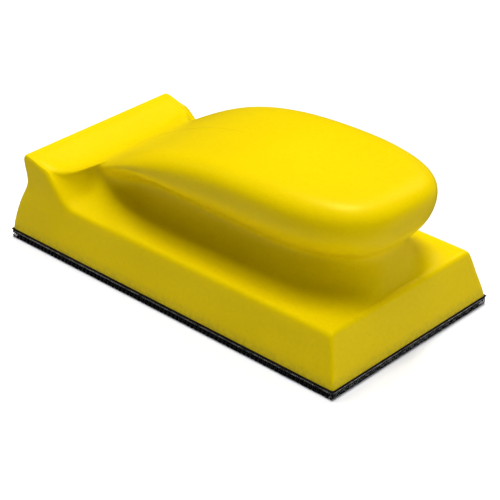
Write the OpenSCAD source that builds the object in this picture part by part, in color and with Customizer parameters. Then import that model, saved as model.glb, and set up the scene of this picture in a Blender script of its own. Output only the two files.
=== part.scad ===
// Palm-grip hand sanding block with a hook face for loop-backed abrasive strips.
// X runs along the block: the lip is at -X and the rounded end of the grip at +X.
// Z is up, and the origin is under the middle of the block, on the surface that it stands on.

/* [Body] */
// Length of the moulded body at its base
body_l = 125; // [118:1:135]
// Width of the moulded body at its base
body_w = 70; // [66:1:78]
// Height of the deck along the long sides, above the surface
deck_h = 16; // [14:0.5:18]
// Height of the front lip's edge, above the surface
lip_h = 26.2; // [24:0.1:29]
// Height of the grip's crest, above the surface
crest_h = 47.3; // [44:0.1:52]

/* [Grip] */
// Side inset of the grip's widest line from the base outline
rim_in = 8; // [6:0.5:10]
// Side inset of the grip's neck from the base outline
neck_in = 15.5; // [13:0.5:17]
// Depth of the grip's widest line below its crest
rim_drop = 4.6; // [3.5:0.1:6]

/* [Hook tape] */
// Thickness of the adhesive film
film_t = 0.4; // [0.2:0.1:0.8]
// Thickness of the woven ground of the tape
ground_t = 1.1; // [0.6:0.1:1.6]
// Height of the hooks
hook_h = 1.4; // [1:0.1:2]
// How far the tape stands out past the body all round
tape_over = 0.3; // [0:0.1:0.8]
// Number of rows of hooks across the width, an odd number
hook_row_count = 43; // [31:2:51]
// Width of one row of hooks
hook_row_w = 0.8; // [0.5:0.1:1]

/* [Mesh] */
// Points round each ring of the body, a multiple of 8
ring_points = 104; // [64:8:120]

/* [Hidden] */

half_l = body_l / 2;
half_w = body_w / 2;
tape_l = body_l + 2 * tape_over;
tape_w = body_w + 2 * tape_over;
tape_t = hook_h + ground_t + film_t;
hook_pitch = (tape_w - hook_row_w) / (hook_row_count - 1);

// Stations along X
front_x = -half_l;
neck_x = front_x + 20.5;         // the grip is narrowest here, behind the lip
valley_x = front_x + 13.5;       // lowest line between the lip and the grip
lip_back_x = front_x + 10;       // the lip's top and its side edges end here
full_x = front_x + 57.5;         // the grip has its full width from here back
flat_x = half_l - 32.5;          // the crest is level from here back
rear_turn_x = half_l - 42.5;     // the grip's outline starts to turn round its rear end
rear_x = half_l - 6.5;           // rear end of the grip's crest

function clamp01(t) = min(max(t, 0), 1);
function ease(t) = let (c = clamp01(t)) c * c * (3 - 2 * c);
function ramp(x, from, to) = ease((x - from) / (to - from));
function mix(a, b, share) = a + (b - a) * share;

// Height of the centre line over the lip, the valley and the grip
valley_h = lip_h - 2.4;
rise_ease = 0.055;
rise_power = 2.92;
tail_drop = 0.3;
tail_power = 2.2;
function grip_rise(t) = (1 + rise_ease) * t / (t + rise_ease) * (1 - pow(1 - t, rise_power));
function tail(x) = pow(max((x - flat_x) / (rear_x - flat_x), 0), tail_power);
function crest(x) =
    mix(lip_h, valley_h, ramp(x, front_x + 2.5, valley_x - 0.5))
    + (crest_h - valley_h) * grip_rise(clamp01((x - valley_x) / (flat_x - valley_x)))
    - tail_drop * tail(x);

// Height of the edge between the side wall and the deck, which climbs to the lip at the front
deck_slope = 0.014;
climb_power = 1.35;
climb_ease_share = 0.25;
climb_h = 8.4;
function climb(t) = mix(pow(t, climb_power), ease(t), climb_ease_share);
function deck(x) =
    deck_h + deck_slope * max(x - (front_x + 27.5), 0)
    + climb_h * climb(clamp01((neck_x + 0.5 - x) / 11))
    + (lip_h - deck_h - climb_h) * ramp(x, lip_back_x + 0.5, front_x + 0.5);

// The body is a stack of closed control rings, from the base outline up the walls, over the deck
// edge, across the deck, up the neck, round the rim and in over the lip and the grip's top.
// Each ring holds:
// [x of its widest place, rear inset, front inset, side inset, narrowing at the neck,
//  power of the narrowing, roundness at the rear, roundness at the front]
RING_MID = 0;
RING_REAR = 1;
RING_FRONT = 2;
RING_SIDE = 3;
RING_NARROW = 4;
RING_POWER = 5;
RING_REAR_ROUND = 6;
RING_FRONT_ROUND = 7;
rings = [
    // walls
    [12, 0.0, 0.0, 0.0, 0, 1, 120, 160],
    [12, 0.7, -0.3, 0.6, 0, 1, 120, 160],
    [12, 2.2, 1.5, 1.8, 0, 1, 120, 160],
    [12, 3.4, 3.5, 2.7, 0, 1, 110, 160],
    [12, 3.9, 0.2, 3.0, 0, 1, 90, 140],
    // deck edge
    [12, 4.4, 0.6, 3.5, 0, 1, 80, 140],
    [12, 5.8, 1.2, 5.3, 0, 1, 45, 120],
    // deck and cove
    [14, 6.2, 1.5, 7.8, 0.02, 2, 5, 120],
    [18, 7.4, 2.0, neck_in - 3.3, 0.1, 1.6, 3, 100],
    // neck and underside of the rim
    [20, 9.0, 2.4, neck_in - 0.5, 0.15, 1.6, 2.7, 80],
    [20, 10.4, 2.8, neck_in + 0.9, 0.03, 1.6, 2.6, 70],
    [18, 6.8, 3.3, rim_in + 4.2, 0.18, 2, 2.7, 60],
    // rim
    [17, 3.9, 3.9, rim_in + 0.8, 0.23, 3, 2.9, 50],
    [17, 3.3, 4.8, rim_in - 0.1, 0.27, 3, 3, 35],
    // top
    [17, 5.7, 10.0, rim_in + 2.8, 0.27, 3, 3, 9],
    [17, 11.3, 15.0, rim_in + 7.8, 0.28, 3, 2.7, 5],
    [18, 16.5, 22.0, rim_in + 13.5, 0.28, 3, 2.3, 4],
    [20, 23.0, 34.0, rim_in + 19.5, 0.2, 3, 2.2, 3],
    [20, 30.0, 52.0, rim_in + 25, 0, 3, 2, 2]
];
ring_count = len(rings);
wall_ring_count = 7;
cove_ring_count = 12;
edge_ring = 13;

// Number of straight steps in each span between two control rings
span_steps = [1, 1, 1, 1, 2, 2, 2, 3, 3, 3, 3, 3, 3, 3, 3, 3, 2, 2, 1, 1];

// Walls: [share of the wall's height, extra height]
wall_levels = [[0, 0], [0, 3], [0.5, 0], [0.78, 0], [1, -1.8], [1, 0], [1, 0.5]];
groove_ring = 3;
groove_fall = 0.12;      // the front groove lies lower than the same line on the side walls
function wall_share(j, x) =
    wall_levels[j][0] - (j == groove_ring ? groove_fall * ramp(x, neck_x + 2, front_x + 2.5) : 0);
function wall_z(j, x) = mix(tape_t, deck(x), wall_share(j, x)) + wall_levels[j][1];

// Deck to underside of the rim: [height above the deck, rise at the rear, fall towards the neck,
// x where that fall starts]
cove_levels = [
    [1.2, 0.4, 0, full_x],
    [4.2, 0.4, 1.4, full_x],
    [8.9, 0, 4.3, full_x - 9],
    [13.0, 0, 7.2, full_x - 11],
    [15.8, 0, 6.2, full_x - 10]
];
cove_scale = (crest_h - deck_h) / 31.3;
function rear_share(x) = ramp(x, rear_turn_x, rear_x);
function cove_z(j, x) =
    let (level = cove_levels[j - wall_ring_count])
    deck_h + cove_scale
        * (level[0] + level[1] * rear_share(x) - level[2] * ramp(x, level[3], neck_x));

// Rim and top: [depth below the crest, rise at the rear, rise towards the neck,
// x where it starts, x where it ends]
top_levels = [
    [rim_drop + 6.2, -0.3, 8.0, full_x + 10, neck_x + 1],
    [rim_drop - 0.6, -0.4, 2.0, full_x, neck_x + 1],
    [1.0, 0, 0.3, full_x - 5, neck_x + 4]
];
crest_level = [0, 0, 0, full_x, neck_x];
function top_z(j, x) =
    let (i = j - cove_ring_count)
    let (level = i < len(top_levels) ? top_levels[i] : crest_level)
    crest(x) - level[0] + level[1] * rear_share(x) + level[2] * ramp(x, level[3], level[4]);

// In front of the neck the rings from the deck to the rim close up into one scoop. It lies between
// the deck edge and the edge of the top, which flares out from the neck to the lip's rear corners.
// Each entry: [share of the way across the scoop, share of the way up it]
scoop_shares = [
    [0.25, 0.06], [0.47, 0.15], [0.65, 0.27], [0.79, 0.41], [0.89, 0.57], [0.96, 0.74], [1, 0.92]
];
scoop_edge_in = 4.5;
neck_half_w = half_w - 15.2;
lip_half_w = half_w - 5.8;
// The lower a ring lies, the further back the scoop starts
function in_scoop(j, x) =
    let (below = edge_ring - j)
    ramp(x, neck_x + 5.5 + 3.8 * below, neck_x - 2 + 2 * below);
function scoop_half_width(j, x) =
    mix(half_w - scoop_edge_in, mix(neck_half_w, lip_half_w, ramp(x, neck_x + 2.5, lip_back_x)),
        scoop_shares[j - wall_ring_count][0]);
function scoop_z(j, x) = mix(deck(x) + 0.3, crest(x) - 0.1, scoop_shares[j - wall_ring_count][1]);
function has_scoop(j) = j >= wall_ring_count && j <= edge_ring;

// Height of ring j at x
function side_z(j, x) =
    j < wall_ring_count ? wall_z(j, x)
    : j < cove_ring_count ? cove_z(j, x)
    : top_z(j, x);
function ring_z(j, x) = has_scoop(j) ? mix(side_z(j, x), scoop_z(j, x), in_scoop(j, x)) : side_z(j, x);

// Half width of ring j at x. The grip narrows to its neck, then the walls and the top flare to
// the lip: [side inset at the lip, x where the flare starts, x where it ends]
lip_face_x = front_x + 1.5;
wall_flares = [
    [0, neck_x + 2, lip_face_x], [0.7, neck_x + 2, lip_face_x], [2.3, neck_x + 2, lip_face_x],
    [3.6, neck_x + 2, lip_face_x], [4, neck_x + 2, lip_face_x], [4.2, neck_x + 2, lip_face_x],
    [4.6, neck_x + 2, lip_back_x - 0.5]
];
top_flares = [
    [10.5, neck_x + 0.5, neck_x - 10.5], [13.5, neck_x + 1, neck_x - 9],
    [20, neck_x + 1, neck_x - 8], [28, neck_x + 1, neck_x - 8], [33, neck_x + 1, neck_x - 8]
];
function soft_limit(t) = t < 0.8 ? max(t, 0) : 0.8 + 0.2 * (1 - exp((0.8 - t) / 0.2));
function side_half_width(ring, x) =
    let (front_share = soft_limit((full_x - x) / (full_x - neck_x)))
    (half_w - ring[RING_SIDE]) * (1 - ring[RING_NARROW] * pow(front_share, ring[RING_POWER]));
function flared_half_width(ring, flare, x) =
    let (at_neck = (half_w - ring[RING_SIDE]) * (1 - ring[RING_NARROW]))
    side_half_width(ring, x) + (half_w - flare[0] - at_neck) * ramp(x, flare[1], flare[2]);
function ring_half_width(j, x) =
    j < wall_ring_count ? flared_half_width(rings[j], wall_flares[j], x)
    : j > edge_ring ? flared_half_width(rings[j], top_flares[j - edge_ring - 1], x)
    : mix(side_half_width(rings[j], x), scoop_half_width(j, x), in_scoop(j, x));

// Point of ring j in direction a (degrees), on a superellipse whose halves have their own roundness
function ring_point(j, a) =
    let (ring = rings[j])
    let (n = cos(a) > 0 ? ring[RING_REAR_ROUND] : ring[RING_FRONT_ROUND])
    let (reach = pow(pow(abs(cos(a)), n) + pow(abs(sin(a)), n), -1 / n))
    let (mid = ring[RING_MID])
    let (span = cos(a) > 0 ? half_l - ring[RING_REAR] - mid : mid + half_l - ring[RING_FRONT])
    let (x = mid + span * cos(a) * reach)
    [x, sin(a) * reach * ring_half_width(j, x), ring_z(j, x)];

// Directions crowd towards the corners, at 45 degrees and its odd multiples
corner_crowding = 0.2 * 180 / PI;
function ring_angle(i) = let (a = 360 * i / ring_points) a + corner_crowding * sin(4 * a);

// Weights of a uniform cubic B-spline
function spline_weights(t) = [
    pow(1 - t, 3) / 6,
    (3 * pow(t, 3) - 6 * t * t + 4) / 6,
    (-3 * pow(t, 3) + 3 * t * t + 3 * t + 1) / 6,
    pow(t, 3) / 6
];
function control_index(k) = min(max(k - 2, 0), ring_count - 1);

// The rings over the top lie far apart at its front end, so past the edge of the top the points are
// settled onto the crest line, and over the lip this starts nearer to that edge
settle_ring = 14;
settle_span = 2;
lip_settle = 1.5;
function settled(p, ring) =
    let (start = settle_ring - lip_settle * ramp(p.x, neck_x, lip_back_x))
    [p.x, p.y, mix(p.z, crest(p.x), ease((ring - start) / settle_span))];

// The body's skin as one closed polyhedron
module skin() {
    angles = [for (i = [0:ring_points - 1]) ring_angle(i)];
    control = [for (j = [0:ring_count - 1]) [for (a = angles) ring_point(j, a)]];
    levels = [
        for (k = [0:ring_count])
            for (step = [0:span_steps[k] - 1])
                let (w = spline_weights(step / span_steps[k]))
                [for (i = [0:ring_points - 1]) settled(
                    w[0] * control[control_index(k)][i] + w[1] * control[control_index(k + 1)][i]
                    + w[2] * control[control_index(k + 2)][i] + w[3] * control[control_index(k + 3)][i],
                    k - 1 + step / span_steps[k])]
    ];
    all_levels = concat(levels, [control[ring_count - 1]]);
    points = concat([for (level = all_levels) each level], [[0, 0, tape_t]]);
    top = (len(all_levels) - 1) * ring_points;
    base_middle = top + ring_points;
    base_faces = [for (i = [0:ring_points - 1]) [base_middle, i, (i + 1) % ring_points]];
    wall_faces = [
        for (k = [0:len(all_levels) - 2])
            for (i = [0:ring_points - 1])
                let (a = k * ring_points + i)
                let (b = k * ring_points + (i + 1) % ring_points)
                each [[a, b + ring_points, b], [a, a + ring_points, b + ring_points]]
    ];
    crest_faces = [
        for (i = [0:ring_points / 2 - 1])
            let (a = top + i)
            let (d = top + (ring_points - i) % ring_points)
            let (c = top + ring_points - i - 1)
            each concat(i > 0 ? [[a, d, a + 1]] : [], i < ring_points / 2 - 1 ? [[a + 1, d, c]] : [])
    ];
    polyhedron(points, concat(base_faces, wall_faces, crest_faces), convexity = 6);
}

module foam_body() {
    color("gold") skin();
}

module layer(z, thickness) {
    translate([-tape_l / 2, -tape_w / 2, z]) cube([tape_l, tape_w, thickness]);
}

module adhesive_film() {
    color("dimgray") layer(hook_h + ground_t, film_t);
}

module hook_tape_backing() {
    color("darkslategray") layer(hook_h, ground_t);
}

module hook_rows() {
    color("black")
        for (row = [0:hook_row_count - 1])
            translate([-tape_l / 2, -tape_w / 2 + row * hook_pitch, 0])
                cube([tape_l, hook_row_w, hook_h]);
}

foam_body();
adhesive_film();
hook_tape_backing();
hook_rows();
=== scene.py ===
"""Palm-grip sanding block: moulded foam body on hook tape, standing on a pale studio floor."""

import math
import random

import bpy
import numpy as np
from mathutils import Matrix, Vector


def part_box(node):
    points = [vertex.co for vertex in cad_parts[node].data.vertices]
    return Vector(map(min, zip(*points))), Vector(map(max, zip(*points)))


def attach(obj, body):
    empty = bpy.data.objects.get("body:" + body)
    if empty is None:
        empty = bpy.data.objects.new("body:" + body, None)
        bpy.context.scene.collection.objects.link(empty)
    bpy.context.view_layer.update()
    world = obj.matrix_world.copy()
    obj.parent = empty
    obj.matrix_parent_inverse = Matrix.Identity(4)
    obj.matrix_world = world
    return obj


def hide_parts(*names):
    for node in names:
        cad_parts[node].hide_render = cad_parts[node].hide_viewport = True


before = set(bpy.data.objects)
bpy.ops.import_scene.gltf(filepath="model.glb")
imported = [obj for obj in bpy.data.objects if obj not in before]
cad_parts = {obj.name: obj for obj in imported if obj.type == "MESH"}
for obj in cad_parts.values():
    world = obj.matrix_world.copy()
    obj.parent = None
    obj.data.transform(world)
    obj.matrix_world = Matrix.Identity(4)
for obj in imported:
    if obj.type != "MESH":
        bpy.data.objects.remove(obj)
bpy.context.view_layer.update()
MM = 0.001
SEED = 7

# ---------------------------------------------------------------- sizes from the CAD, in millimetres
body_low, body_high = (np.array(corner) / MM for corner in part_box("foam_body"))
film_low, film_high = (np.array(corner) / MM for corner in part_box("adhesive_film"))
ground_low, ground_high = (np.array(corner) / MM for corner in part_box("hook_tape_backing"))
hooks_low, hooks_high = (np.array(corner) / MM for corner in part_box("hook_rows"))
HALF_L = float(body_high[0])
HALF_W = float(body_high[1])
BASE_Z = float(body_low[2])
CREST_H = float(body_high[2])
TAPE_HALF_L = float(ground_high[0])
TAPE_HALF_W = float(ground_high[1])

# heights above the ground, side insets from the base outline, and the rim's depth below the crest
DECK_H = 16.0
LIP_H = 26.2
RIM_IN = 8.0
NECK_IN = 15.5
RIM_DROP = 4.6

# stations along X
FRONT_X = -HALF_L
NECK_X = FRONT_X + 20.5
VALLEY_X = FRONT_X + 13.5
LIP_BACK_X = FRONT_X + 10
FULL_X = FRONT_X + 57.5
FLAT_X = HALF_L - 32.5
REAR_TURN_X = HALF_L - 42.5
REAR_X = HALF_L - 6.5


# ---------------------------------------------------------------- the moulded body's surface
VALLEY_DROP = 2.4       # the valley behind the lip lies this far below its edge
RISE_EASE = 0.055       # the grip's crest: how softly it leaves the valley, and how fast it flattens
RISE_POWER = 2.92
TAIL_DROP = 0.3         # the crest falls this far at the grip's rear end
TAIL_POWER = 2.2
DECK_LEVEL_X = FRONT_X + 27.5
DECK_SLOPE = 0.014      # behind DECK_LEVEL_X the deck rises this much per millimetre
CLIMB_H = 8.4           # the deck's edge climbs this far to the lip, over CLIMB_LENGTH
CLIMB_LENGTH = 11
CLIMB_POWER = 1.35
CLIMB_EASE_SHARE = 0.25


def ease(t):
    t = np.clip(t, 0, 1)
    return t * t * (3 - 2 * t)


def ramp(x, start, end):
    return ease((x - start) / (end - start))


def mix(a, b, share):
    return a + (b - a) * share


def crest(x):
    """Height of the centre line over the lip, the valley and the grip."""
    valley = LIP_H - VALLEY_DROP
    t = np.clip((x - VALLEY_X) / (FLAT_X - VALLEY_X), 0, 1)
    rise = (1 + RISE_EASE) * t / (t + RISE_EASE) * (1 - (1 - t) ** RISE_POWER)
    tail = np.maximum((x - FLAT_X) / (REAR_X - FLAT_X), 0) ** TAIL_POWER
    lip = mix(LIP_H, valley, ramp(x, FRONT_X + 2.5, VALLEY_X - 0.5))
    return lip + (CREST_H - valley) * rise - TAIL_DROP * tail


def deck(x):
    """Height of the edge between the side wall and the deck, which climbs to the lip."""
    t = np.clip((NECK_X + 0.5 - x) / CLIMB_LENGTH, 0, 1)
    climb = mix(t ** CLIMB_POWER, ease(t), CLIMB_EASE_SHARE)
    top = (LIP_H - DECK_H - CLIMB_H) * ramp(x, LIP_BACK_X + 0.5, FRONT_X + 0.5)
    return DECK_H + DECK_SLOPE * np.maximum(x - DECK_LEVEL_X, 0) + CLIMB_H * climb + top


# Control rings: (x of the widest place, rear inset, front inset, side inset, narrowing at the neck,
# its power, roundness at the rear, roundness at the front)
RINGS = [
    # walls
    (12, 0.0, 0.0, 0.0, 0, 1, 120, 160),
    (12, 0.7, -0.3, 0.6, 0, 1, 120, 160),
    (12, 2.2, 1.5, 1.8, 0, 1, 120, 160),
    (12, 3.4, 3.5, 2.7, 0, 1, 110, 160),
    (12, 3.9, 0.2, 3.0, 0, 1, 90, 140),
    # deck edge
    (12, 4.4, 0.6, 3.5, 0, 1, 80, 140),
    (12, 5.8, 1.2, 5.3, 0, 1, 45, 120),
    # deck, cove, and underside of the rim
    (14, 6.2, 1.5, 7.8, 0.02, 2, 5, 120),
    (18, 7.4, 2.0, NECK_IN - 3.3, 0.1, 1.6, 3, 100),
    (20, 9.0, 2.4, NECK_IN - 0.5, 0.15, 1.6, 2.7, 80),
    (20, 10.4, 2.8, NECK_IN + 0.9, 0.03, 1.6, 2.6, 70),
    (18, 6.8, 3.3, RIM_IN + 4.2, 0.18, 2, 2.7, 60),
    # rim
    (17, 3.9, 3.9, RIM_IN + 0.8, 0.23, 3, 2.9, 50),
    (17, 3.3, 4.8, RIM_IN - 0.1, 0.27, 3, 3, 35),
    # top
    (17, 5.7, 10.0, RIM_IN + 2.8, 0.27, 3, 3, 9),
    (17, 11.3, 15.0, RIM_IN + 7.8, 0.28, 3, 2.7, 5),
    (18, 16.5, 22.0, RIM_IN + 13.5, 0.28, 3, 2.3, 4),
    (20, 23.0, 34.0, RIM_IN + 19.5, 0.2, 3, 2.2, 3),
    (20, 30.0, 52.0, RIM_IN + 25, 0, 3, 2, 2),
]
# The first rings are the walls, and the rings up to COVE_RINGS lead up to the underside of the rim
WALL_RINGS = 7
COVE_RINGS = 12
EDGE_RING = 13
# Past the edge of the top the surface settles onto the crest line, sooner over the lip
SETTLE_RING = 14
SETTLE_SPAN = 2
LIP_SETTLE = 1.5
# Walls: (share of the wall's height, extra height)
WALL_LEVELS = [(0, 0), (0, 3), (0.5, 0), (0.78, 0), (1, -1.8), (1, 0), (1, 0.5)]
GROOVE_RING = 3
GROOVE_FALL = 0.12      # the front groove lies lower than the same line on the side walls
COVE_SCALE = (CREST_H - DECK_H) / 31.3  # the next table's heights are for a grip 31.3 above its deck
# Deck to underside of the rim: (height above the deck, rise at the rear, fall towards the neck,
# x where that fall starts)
COVE_LEVELS = [
    (1.2, 0.4, 0, FULL_X),
    (4.2, 0.4, 1.4, FULL_X),
    (8.9, 0, 4.3, FULL_X - 9),
    (13.0, 0, 7.2, FULL_X - 11),
    (15.8, 0, 6.2, FULL_X - 10),
]
# Rim and top: (depth below the crest, rise at the rear, rise towards the neck, x of its two ends)
TOP_LEVELS = [
    (RIM_DROP + 6.2, -0.3, 8.0, FULL_X + 10, NECK_X + 1),
    (RIM_DROP - 0.6, -0.4, 2.0, FULL_X, NECK_X + 1),
    (1.0, 0, 0.3, FULL_X - 5, NECK_X + 4),
]
# In front of the neck the rings close up into a scoop: (share of the way across it, and up it)
SCOOP_SHARES = [
    (0.25, 0.06), (0.47, 0.15), (0.65, 0.27), (0.79, 0.41), (0.89, 0.57), (0.96, 0.74), (1, 0.92),
]
SCOOP_EDGE_IN = 4.5     # side insets of the scoop: at the deck's edge, and on top at the neck and the lip
SCOOP_NECK_IN = 15.2
SCOOP_LIP_IN = 5.8
NECK_KNEE = 0.8         # past this share of the way to the neck the narrowing slows down
NECK_SLOWING = 0.2
# Walls and top flare from the neck to the lip: (side inset at the lip, x of the flare's two ends)
WALL_FLARES = [(inset, NECK_X + 2, FRONT_X + 1.5) for inset in (0, 0.7, 2.3, 3.6, 4, 4.2)]
WALL_FLARES.append((4.6, NECK_X + 2, LIP_BACK_X - 0.5))
TOP_FLARES = [
    (10.5, NECK_X + 0.5, NECK_X - 10.5), (13.5, NECK_X + 1, NECK_X - 9), (20, NECK_X + 1, NECK_X - 8),
    (28, NECK_X + 1, NECK_X - 8), (33, NECK_X + 1, NECK_X - 8),
]


def in_scoop(x, j):
    """The lower a ring lies, the further back the scoop starts."""
    below = EDGE_RING - j
    return ramp(x, NECK_X + 5.5 + 3.8 * below, NECK_X - 2 + 2 * below)


def ring_z(j, x):
    """Height of control ring j at x."""
    rear = ramp(x, REAR_TURN_X, REAR_X)
    if j < WALL_RINGS:
        share, extra = WALL_LEVELS[j]
        if j == GROOVE_RING:
            share = share - GROOVE_FALL * ramp(x, NECK_X + 2, FRONT_X + 2.5)
        return mix(BASE_Z, deck(x), share) + extra
    if j < COVE_RINGS:
        up, at_rear, fall, fall_x = COVE_LEVELS[j - WALL_RINGS]
        side = DECK_H + COVE_SCALE * (up + at_rear * rear - fall * ramp(x, fall_x, NECK_X))
    elif j - COVE_RINGS < len(TOP_LEVELS):
        down, at_rear, at_neck, start, end = TOP_LEVELS[j - COVE_RINGS]
        side = crest(x) - down + at_rear * rear + at_neck * ramp(x, start, end)
    else:
        side = crest(x)
    if j > EDGE_RING:
        return side
    scoop = mix(deck(x) + 0.3, crest(x) - 0.1, SCOOP_SHARES[j - WALL_RINGS][1])
    return mix(side, scoop, in_scoop(x, j))


def ring_half_width(j, x):
    """Half the width of control ring j at x."""
    _, _, _, inset, narrow, power, _, _ = RINGS[j]
    full = HALF_W - inset
    t = np.maximum((FULL_X - x) / (FULL_X - NECK_X), 0)
    slowed = NECK_KNEE + NECK_SLOWING * (1 - np.exp((NECK_KNEE - t) / NECK_SLOWING))
    t = np.where(t < NECK_KNEE, t, slowed)
    side = full * (1 - narrow * t ** power)
    if WALL_RINGS <= j <= EDGE_RING:
        flare = ramp(x, NECK_X + 2.5, LIP_BACK_X)
        edge = mix(HALF_W - SCOOP_NECK_IN, HALF_W - SCOOP_LIP_IN, flare)
        scoop = mix(HALF_W - SCOOP_EDGE_IN, edge, SCOOP_SHARES[j - WALL_RINGS][0])
        return mix(side, scoop, in_scoop(x, j))
    lip_inset, start, end = WALL_FLARES[j] if j < WALL_RINGS else TOP_FLARES[j - EDGE_RING - 1]
    return side + (HALF_W - lip_inset - full * (1 - narrow)) * ramp(x, start, end)


def ring_points(j, angles):
    """Ring j on a superellipse whose front and rear halves have their own roundness."""
    mid, rear, front, _, _, _, rear_round, front_round = RINGS[j]
    c, s = np.cos(angles), np.sin(angles)
    power = np.where(c > 0, rear_round, front_round)
    reach = (np.abs(c) ** power + np.abs(s) ** power) ** (-1 / power)
    x = mid + np.where(c > 0, HALF_L - rear - mid, mid + HALF_L - front) * c * reach
    return np.stack([x, s * reach * ring_half_width(j, x), ring_z(j, x)], -1)


CORNER_CROWDING = 0.2   # the points of a ring crowd towards its corners


def skin_levels(count, steps):
    """Levels of the finished surface, from the base outline to the middle of the top.

    They run through a uniform cubic B-spline over the control rings, with steps levels to a ring.
    """
    u = 2 * math.pi * np.arange(count) / count
    angles = u + CORNER_CROWDING * np.sin(4 * u)
    control = [ring_points(j, angles) for j in range(len(RINGS))]
    control = [control[0]] * 2 + control + [control[-1]] * 2
    levels = []
    for k in range(len(control) - 3):
        for i in range(steps):
            t = i / steps
            # the cubic B-spline's weights of four neighbouring rings
            weights = (
                (1 - t) ** 3 / 6,
                (3 * t ** 3 - 6 * t * t + 4) / 6,
                (-3 * t ** 3 + 3 * t * t + 3 * t + 1) / 6,
                t ** 3 / 6,
            )
            level = sum(w * p for w, p in zip(weights, control[k:k + 4]))
            start = SETTLE_RING - LIP_SETTLE * ramp(level[:, 0], NECK_X, LIP_BACK_X)
            settle = ease((k - 1 + t - start) / SETTLE_SPAN)
            level[:, 2] = mix(level[:, 2], crest(level[:, 0]), settle)
            levels.append(level)
    levels.append(control[-1])
    return levels


def add_object(name, verts, faces, material, node=None, smooth=True):
    """A piece of the visual model, from points in millimetres; node is the CAD node it replaces."""
    mesh = bpy.data.meshes.new(name)
    mesh.from_pydata([tuple(v) for v in np.asarray(verts) * MM], [], faces)
    mesh.validate()
    mesh.update()
    obj = bpy.data.objects.new(name, mesh)
    bpy.context.scene.collection.objects.link(obj)
    if smooth:
        mesh.polygons.foreach_set("use_smooth", [True] * len(mesh.polygons))
    mesh.materials.append(material)
    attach(obj, "root")
    if node:
        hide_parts(node)


# ---------------------------------------------------------------- node helpers
def new_material(name):
    material = bpy.data.materials.new(name)
    material.use_nodes = True
    tree = material.node_tree
    shader = tree.nodes["Principled BSDF"]
    coords = tree.nodes.new("ShaderNodeTexCoord")
    return material, tree, shader, coords.outputs["Object"]


def noise(tree, vector, scale, detail, roughness):
    """Noise with scale cells to the metre."""
    node = tree.nodes.new("ShaderNodeTexNoise")
    node.inputs["Scale"].default_value = scale
    node.inputs["Detail"].default_value = detail
    node.inputs["Roughness"].default_value = roughness
    tree.links.new(vector, node.inputs["Vector"])
    return node.outputs["Fac"]


def cell_distance(tree, vector, scale):
    """Distance to the nearest cell's middle, in cells, with scale cells to the metre."""
    node = tree.nodes.new("ShaderNodeTexVoronoi")
    node.inputs["Scale"].default_value = scale
    tree.links.new(vector, node.inputs["Vector"])
    return node.outputs["Distance"]


def remap(tree, value, low, high, to_low, to_high):
    """The value, with its range low to high spread over to_low to to_high and clamped there."""
    node = tree.nodes.new("ShaderNodeMapRange")
    sockets = ("From Min", "From Max", "To Min", "To Max")
    for socket, number in zip(sockets, (low, high, to_low, to_high)):
        node.inputs[socket].default_value = number
    tree.links.new(value, node.inputs["Value"])
    return node.outputs["Result"]


def math_node(tree, operation, a, b=0.0):
    """One step of arithmetic; a and b are numbers or the outputs of other nodes."""
    node = tree.nodes.new("ShaderNodeMath")
    node.operation = operation
    for socket, value in zip(node.inputs, (a, b)):
        if isinstance(value, (int, float)):
            socket.default_value = value
        else:
            tree.links.new(value, socket)
    return node.outputs["Value"]


def blend_colour(tree, share, first, second):
    """First, with this share of second mixed in; each is a colour or the output of another node."""
    node = tree.nodes.new("ShaderNodeMix")
    node.data_type = "RGBA"
    tree.links.new(share, node.inputs["Factor"])
    # sockets 6 and 7 are the colour versions of A and B, and output 2 that of the result
    for socket, value in ((node.inputs[6], first), (node.inputs[7], second)):
        if isinstance(value, tuple):
            socket.default_value = (*value, 1)
        else:
            tree.links.new(value, socket)
    return node.outputs[2]


def bump(tree, height, strength, distance, under=None):
    """The normal of a bump up to distance metres high, on top of the normal called under."""
    node = tree.nodes.new("ShaderNodeBump")
    node.inputs["Strength"].default_value = strength
    node.inputs["Distance"].default_value = distance
    tree.links.new(height, node.inputs["Height"])
    if under is not None:
        tree.links.new(under, node.inputs["Normal"])
    return node.outputs["Normal"]


# ---------------------------------------------------------------- materials
LOW_SHINE = 0.3         # specular level of every material on the block
YELLOW_DARK = (0.715, 0.528, 0.0003)
YELLOW_LIGHT = (0.76, 0.567, 0.0005)
YELLOW_GRAIN = (0.66, 0.48, 0.0003)
PIT_BROWN = (0.42, 0.29, 0.0003)
# darker olive for the lowest few millimetres of the walls, just above the tape
LOW_WALL_OLIVE = (0.42, 0.34, 0.02)
PARTING_LINE = (0.50, 0.36, 0.001)
YELLOW_SHINE = (1.0, 0.80, 0.02, 1)


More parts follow.
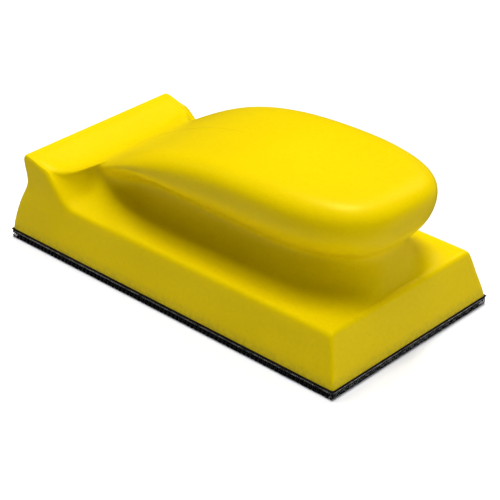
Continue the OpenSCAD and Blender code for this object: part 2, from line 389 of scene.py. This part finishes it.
def foam_skin_material():
    """Moulded polyurethane skin: satin yellow with a fine grain, faint mottling and tiny pits."""
    material, tree, shader, where = new_material("foam_skin_yellow")
    broad = noise(tree, where, 28, 3, 0.55)
    fine = noise(tree, where, 900, 4, 0.6)
    grain = noise(tree, where, 2600, 2, 0.5)
    pores = cell_distance(tree, where, 520)
    colour = blend_colour(tree, remap(tree, broad, 0.3, 0.7, 0, 1), YELLOW_DARK, YELLOW_LIGHT)
    colour = blend_colour(tree, remap(tree, fine, 0.35, 0.65, 0, 0.35), colour, YELLOW_GRAIN)
    pit = remap(tree, pores, 0.0, 0.16, 1, 0)
    colour = blend_colour(tree, math_node(tree, "MULTIPLY", pit, 0.35), colour, PIT_BROWN)
    position = tree.nodes.new("ShaderNodeSeparateXYZ")
    tree.links.new(where, position.inputs["Vector"])
    along, across, height = position.outputs
    # the lowest few millimetres of the walls turn darker olive, in patches
    low = remap(tree, height, 0.0029, 0.0060, 1, 0)
    low_wall_olive = math_node(tree, "MULTIPLY", low, remap(tree, fine, 0.42, 0.62, 0.30, 0.75))
    colour = blend_colour(tree, low_wall_olive, colour, LOW_WALL_OLIVE)
    # the mould's parting line runs back from the valley along the middle of the grip and fades out
    parting = remap(tree, math_node(tree, "ABSOLUTE", across), 0.0001, 0.0006, 1, 0)
    parting = math_node(tree, "MULTIPLY", parting, remap(tree, along, -0.052, -0.044, 0, 1))
    parting = math_node(tree, "MULTIPLY", parting, remap(tree, along, -0.024, 0.004, 1, 0))
    colour = blend_colour(tree, math_node(tree, "MULTIPLY", parting, 0.45), colour, PARTING_LINE)
    tree.links.new(colour, shader.inputs["Base Color"])
    mottle = math_node(tree, "ADD", math_node(tree, "MULTIPLY", broad, 0.6),
                       math_node(tree, "MULTIPLY", fine, 0.4))
    tree.links.new(remap(tree, mottle, 0.35, 0.65, 0.29, 0.38), shader.inputs["Roughness"])
    normal = bump(tree, grain, 0.10, 0.0001)
    normal = bump(tree, fine, 0.12, 0.0002, normal)
    normal = bump(tree, math_node(tree, "MULTIPLY", pit, -1.0), 0.15, 0.0001, normal)
    normal = bump(tree, broad, 0.10, 0.0012, normal)
    normal = bump(tree, parting, 0.6, 0.0002, normal)
    tree.links.new(normal, shader.inputs["Normal"])
    shader.inputs["IOR"].default_value = 1.5
    shader.inputs["Specular Tint"].default_value = YELLOW_SHINE
    shader.inputs["Specular IOR Level"].default_value = LOW_SHINE
    return material


def black_material(name, dark, light, scale, low, high, rough):
    """Black nylon or adhesive with pale flecks, which on the selvedge yarns are painted sheen; low and high
    are the noise where the flecks start and end.
    """
    material, tree, shader, where = new_material(name)
    flecks = noise(tree, where, scale, 4, 0.7)
    colour = blend_colour(tree, remap(tree, flecks, low, high, 0, 1), dark, light)
    tree.links.new(colour, shader.inputs["Base Color"])
    tree.links.new(remap(tree, flecks, 0.3, 0.7, rough - 0.08, rough + 0.08), shader.inputs["Roughness"])
    tree.links.new(bump(tree, flecks, 0.4, 0.0002), shader.inputs["Normal"])
    shader.inputs["Specular IOR Level"].default_value = LOW_SHINE
    return material


FOAM = foam_skin_material()
FILM = black_material("adhesive_black", dark=(0.005, 0.005, 0.005), light=(0.014, 0.014, 0.013),
                      scale=900, low=0.45, high=0.7, rough=0.62)
GROUND = black_material("hook_ground_weave", dark=(0.005, 0.005, 0.006), light=(0.016, 0.016, 0.017),
                        scale=1500, low=0.5, high=0.68, rough=0.75)
YARN = black_material("hook_ground_yarn", dark=(0.008, 0.008, 0.009), light=(0.035, 0.034, 0.035),
                      scale=1100, low=0.45, high=0.7, rough=0.7)
# the selvedge yarns are black nylon; their pale grey flecks are painted sheen, the light line that the tape's
# edge catches
SELVEDGE_SHEEN = black_material("hook_selvedge_yarn_painted_sheen", dark=(0.06, 0.06, 0.058), light=(0.58, 0.57, 0.53),
                          scale=700, low=0.36, high=0.58, rough=0.6)
HOOK = black_material("hook_nylon", dark=(0.003, 0.003, 0.0035), light=(0.010, 0.010, 0.011),
                      scale=1300, low=0.45, high=0.7, rough=0.55)


# ---------------------------------------------------------------- foam body
POINTS_PER_LEVEL = 352
LEVELS_PER_RING = 6


def foam_body():
    """The skin's levels joined by quads, zipped up along the crest and closed by a fan at the base."""
    count = POINTS_PER_LEVEL
    levels = skin_levels(count, LEVELS_PER_RING)
    verts = np.concatenate(levels)
    faces = []
    for k in range(len(levels) - 1):
        for i in range(count):
            a, b = k * count + i, k * count + (i + 1) % count
            faces.append((a, b, b + count, a + count))
    top = (len(levels) - 1) * count
    half = count // 2
    for i in range(half):
        a, b = top + i, top + i + 1
        c, d = top + (count - i - 1) % count, top + (count - i) % count
        if i == 0:
            faces.append((a, b, c))
        elif i == half - 1:
            faces.append((a, b, d))
        else:
            faces.append((a, b, c, d))
    middle = len(verts)
    verts = np.concatenate([verts, [[0, 0, BASE_Z]]])
    for i in range(count):
        faces.append((middle, (i + 1) % count, i))
    add_object("foam_body_skin", verts, faces, FOAM, "foam_body")


foam_body()


# ---------------------------------------------------------------- hook tape
OUTLINE_POINTS_PER_MM = 0.8
GROUND_SET_BACK = 0.22  # the woven ground stands back behind the ends of its edge yarns


def rounded_slab(low, high, bevel, wobble, seed):
    """A slab whose cut edge wanders a little, as a die-cut edge does: rings from below to above."""
    rng = random.Random(seed)
    half_l, half_w = float(high[0]), float(high[1])
    corners = [(half_l, -half_w), (half_l, half_w), (-half_l, half_w), (-half_l, -half_w)]
    outline = []
    for (x0, y0), (x1, y1) in zip(corners, corners[1:] + corners[:1]):
        steps = int(math.hypot(x1 - x0, y1 - y0) * OUTLINE_POINTS_PER_MM)
        for i in range(steps):
            t = i / steps
            inward = rng.uniform(0, wobble) if i else 0
            x, y = x0 + (x1 - x0) * t, y0 + (y1 - y0) * t
            if x0 == x1:
                x -= math.copysign(inward, x0)
            else:
                y -= math.copysign(inward, y0)
            outline.append((x, y))
    outline = np.array(outline)
    z0, z1 = float(low[2]), float(high[2])
    rings = []
    for inset, z in ((bevel, z0), (0, z0 + bevel), (0, z1 - bevel), (bevel, z1)):
        shrink = np.array([(half_l - inset) / half_l, (half_w - inset) / half_w])
        rings.append(np.column_stack([outline * shrink, np.full(len(outline), z)]))
    verts = np.concatenate(rings)
    n = len(outline)
    faces = [(k * n + i, k * n + (i + 1) % n, (k + 1) * n + (i + 1) % n, (k + 1) * n + i)
             for k in range(3) for i in range(n)]
    faces.append(tuple(reversed(range(n))))
    faces.append(tuple(range(3 * n, 4 * n)))
    return verts, faces


film_verts, film_faces = rounded_slab(film_low, film_high, bevel=0.06, wobble=0.05, seed=SEED)
add_object("adhesive_layer", film_verts, film_faces, FILM, "adhesive_film", smooth=False)
inner_low, inner_high = ground_low.copy(), ground_high.copy()
inner_high[:2] -= GROUND_SET_BACK
inner_low[:2] += GROUND_SET_BACK
ground_verts, ground_faces = rounded_slab(inner_low, inner_high, bevel=0.1, wobble=0.08, seed=SEED + 1)
add_object("hook_ground", ground_verts, ground_faces, GROUND, "hook_tape_backing",
           smooth=False)


def tube(path, radius, sides, taper=1.0):
    """Verts and faces of a closed tube along a list of points; taper is its last radius over its first."""
    path = [np.array(p, float) for p in path]
    verts, faces = [], []
    for i, point in enumerate(path):
        ahead = path[min(i + 1, len(path) - 1)] - path[max(i - 1, 0)]
        ahead /= np.linalg.norm(ahead)
        side = np.cross(ahead, (0, 0, 1.0))
        if np.linalg.norm(side) < 1e-3:
            side = np.cross(ahead, (1.0, 0, 0))
        side /= np.linalg.norm(side)
        up = np.cross(side, ahead)
        r = radius * (1 + (taper - 1) * i / (len(path) - 1))
        for s in range(sides):
            a = 2 * math.pi * s / sides
            verts.append(point + r * (math.cos(a) * side + math.sin(a) * up))
    for i in range(len(path) - 1):
        for s in range(sides):
            a, b = i * sides + s, i * sides + (s + 1) % sides
            faces.append((a, b, b + sides, a + sides))
    faces.append(tuple(reversed(range(sides))))
    faces.append(tuple(range((len(path) - 1) * sides, len(path) * sides)))
    return verts, faces


def gather(parts):
    """One list of verts and one of faces from many tubes."""
    verts, faces = [], []
    for part_verts, part_faces in parts:
        start = len(verts)
        verts.extend(part_verts)
        faces.extend(tuple(start + i for i in face) for face in part_faces)
    return np.array(verts), faces


YARN_PITCH = 0.62
YARN_RADIUS = 0.16
YARN_END = 0.35         # the loops stop this far from the corners, and reach this far into the ground
# One loop: (inset from the cut edge, shift along it)
YARN_LOOP = ((YARN_END, -0.13), (0.1, -0.09), (0.0, 0.0), (0.1, 0.09), (YARN_END, 0.13))


def edge_yarns(course, up, seed):
    """Ends of one course of the ground's yarns along its four cut edges, as short loops.

    The course lies this far up from the ground's underside, half a pitch along from the course below.
    """
    rng = random.Random(seed)
    parts = []
    for along, across, length in ((0, 1, TAPE_HALF_L), (1, 0, TAPE_HALF_W)):
        edge = (TAPE_HALF_W, TAPE_HALF_L)[along]
        for sign in (-1, 1):
            at = -length + YARN_END + 0.5 * YARN_PITCH * course
            while at < length - YARN_END:
                reach = edge - rng.uniform(0.01, 0.08) - YARN_RADIUS
                path = []
                for inset, shift in YARN_LOOP:
                    p = [0, 0, ground_low[2] + up + rng.uniform(-0.03, 0.03)]
                    p[along] = at + shift
                    p[across] = sign * (reach - inset)
                    path.append(p)
                parts.append(tube(path, YARN_RADIUS * rng.uniform(0.85, 1.1), 6))
                at += YARN_PITCH * rng.uniform(0.92, 1.08)
    return gather(parts)


yarn_verts, yarn_faces = edge_yarns(course=0, up=0.26, seed=SEED + 2)
add_object("hook_ground_edge_yarns", yarn_verts, yarn_faces, YARN)
# this course of yarns carries the painted sheen along the tape's edge
selvedge_verts, selvedge_faces = edge_yarns(course=1, up=0.68, seed=SEED + 4)
add_object("hook_ground_selvedge", selvedge_verts, selvedge_faces, SELVEDGE_SHEEN)


HOOK_ROWS = 43
HOOKS_PER_ROW = 84
HOOK_RADIUS = 0.11
ROW_MARGIN = 0.4        # the outer rows' middles stand this far in from the tape's long edges
ROW_END_MARGIN = 0.6    # a row's first and last hooks stand this far in from its cut ends
HOOK_CLEARANCE = 0.2    # and no hook's middle comes nearer to the long edges than this
# One hook, from its root in the ground to its tip: (millimetres along the row, share of the hooks' height)
HOOK_SHAPE = ((-0.42, 1.02), (-0.38, 0.5), (-0.18, 0.16), (0.12, 0.09), (0.36, 0.3), (0.4, 0.56))


def hook_rows():
    """Woven monofilament hooks: each leaves the ground, arches over and ends in a cut tip."""
    rng = random.Random(SEED + 3)
    high = float(hooks_high[2])
    span_w = 2 * TAPE_HALF_W - 2 * ROW_MARGIN
    half_span = TAPE_HALF_L - ROW_END_MARGIN
    limit = TAPE_HALF_W - HOOK_CLEARANCE
    parts = []
    for row in range(HOOK_ROWS):
        y = -span_w / 2 + row * span_w / (HOOK_ROWS - 1)
        lean = 1 if row % 2 else -1
        for i in range(HOOKS_PER_ROW):
            x = half_span * (2 * i / (HOOKS_PER_ROW - 1) - 1) + rng.uniform(-0.05, 0.05)
            # the cut ends of the tape show more of the pile, so the hooks stand closer there
            spread = (-0.5, 0.0, 0.5) if i < 2 or i > HOOKS_PER_ROW - 3 else (0.0,)
            for aside in spread:
                shift = aside + rng.uniform(-0.08, 0.08)
                middle = np.clip(y + shift, -limit, limit)
                path = [(x + lean * px * 0.9, middle + 0.12 * px, pz * high) for px, pz in HOOK_SHAPE]
                parts.append(tube(path, HOOK_RADIUS, 4, 0.85))
    return gather(parts)


hook_verts, hook_faces = hook_rows()
# the lowest hooks end at the surface that the block stands on
hook_verts[:, 2] += hooks_low[2] - hook_verts[:, 2].min()
add_object("hook_monofilaments", hook_verts, hook_faces, HOOK, "hook_rows")


# ---------------------------------------------------------------- stage, light and camera
def floor_material():
    material, tree, shader, where = new_material("studio_floor")
    cloud = noise(tree, where, 6, 3, 0.5)
    share = remap(tree, cloud, 0.3, 0.7, 0, 1)
    colour = blend_colour(tree, share, (0.86, 0.86, 0.875), (0.89, 0.89, 0.90))
    tree.links.new(colour, shader.inputs["Base Color"])
    shader.inputs["Roughness"].default_value = 0.9
    shader.inputs["Specular IOR Level"].default_value = 0.1
    return material


FLOOR_HALF = 3.0
floor_corners = [(x * FLOOR_HALF, y * FLOOR_HALF, 0) for x, y in ((-1, -1), (1, -1), (1, 1), (-1, 1))]
floor_mesh = bpy.data.meshes.new("studio_floor")
floor_mesh.from_pydata(floor_corners, [], [(0, 1, 2, 3)])
floor = bpy.data.objects.new("studio_floor", floor_mesh)
floor_mesh.materials.append(floor_material())
bpy.context.scene.collection.objects.link(floor)
# the pale floor would wash out the yellow of the walls in its reflection
floor.visible_glossy = False

WORLD_STRENGTH = 0.02
world = bpy.data.worlds.new("studio")
bpy.context.scene.world = world
world.use_nodes = True
background = world.node_tree.nodes["Background"]
background.inputs["Color"].default_value = (1, 1, 1, 1)
background.inputs["Strength"].default_value = WORLD_STRENGTH

LIGHT_DISTANCE = 1.6
LIGHT_TARGET = Vector((0, 0, 0.02))


def softbox(name, azimuth, elevation, size, power, shine=False):
    """A square softbox of size metres and power watts, aimed at the block from LIGHT_DISTANCE away.

    Azimuth 0 is at -Y and 90 at +X, in degrees. Only a light with shine makes highlights.
    """
    a, e = math.radians(azimuth), math.radians(elevation)
    data = bpy.data.lights.new(name, "AREA")
    data.shape = "SQUARE"
    data.size = size
    data.energy = power
    light = bpy.data.objects.new(name, data)
    away = Vector((math.sin(a) * math.cos(e), -math.cos(a) * math.cos(e), math.sin(e)))
    light.location = LIGHT_TARGET + away * LIGHT_DISTANCE
    light.rotation_euler = (-away).to_track_quat("-Z", "Y").to_euler()
    light.visible_glossy = shine
    bpy.context.scene.collection.objects.link(light)


softbox("overhead_softbox", 0, 90, 0.56, 19.5)
softbox("high_back_softbox", 212, 64, 0.24, 5.5, shine=True)
softbox("high_left_softbox", 270, 63, 0.5, 5.0)
softbox("left_softbox", 268, 42, 0.5, 3.5)
softbox("back_softbox", 188, 36, 0.6, 10.0)
softbox("right_softbox", 90, 34, 0.6, 5.6)

# The camera, in metres, with azimuths as for the softboxes; SENSOR and FOCAL are in millimetres
AZIMUTH = math.radians(40.11)
ELEVATION = math.radians(30.15)
ROLL = math.radians(2.55)
DISTANCE = 0.5669
LOOK = Vector((0.0159, -0.0166, 0.0200))
SENSOR = 36
FOCAL = 4.014 * SENSOR
back = Vector((math.sin(AZIMUTH) * math.cos(ELEVATION), -math.cos(AZIMUTH) * math.cos(ELEVATION),
               math.sin(ELEVATION)))
right = Vector((math.cos(AZIMUTH), math.sin(AZIMUTH), 0))
up = back.cross(right)
right_rolled = right * math.cos(ROLL) + up * math.sin(ROLL)
up_rolled = -right * math.sin(ROLL) + up * math.cos(ROLL)
camera_data = bpy.data.cameras.new("camera")
camera_data.sensor_width = SENSOR
camera_data.lens = FOCAL
camera_data.clip_start = 0.01
camera = bpy.data.objects.new("camera", camera_data)
rotation = np.array([right_rolled, up_rolled, back]).T
camera.matrix_world = Matrix.Translation(LOOK + back * DISTANCE) @ Matrix(rotation.tolist()).to_4x4()
bpy.context.scene.collection.objects.link(camera)
bpy.context.scene.camera = camera
bpy.context.scene.view_settings.view_transform = "Standard"
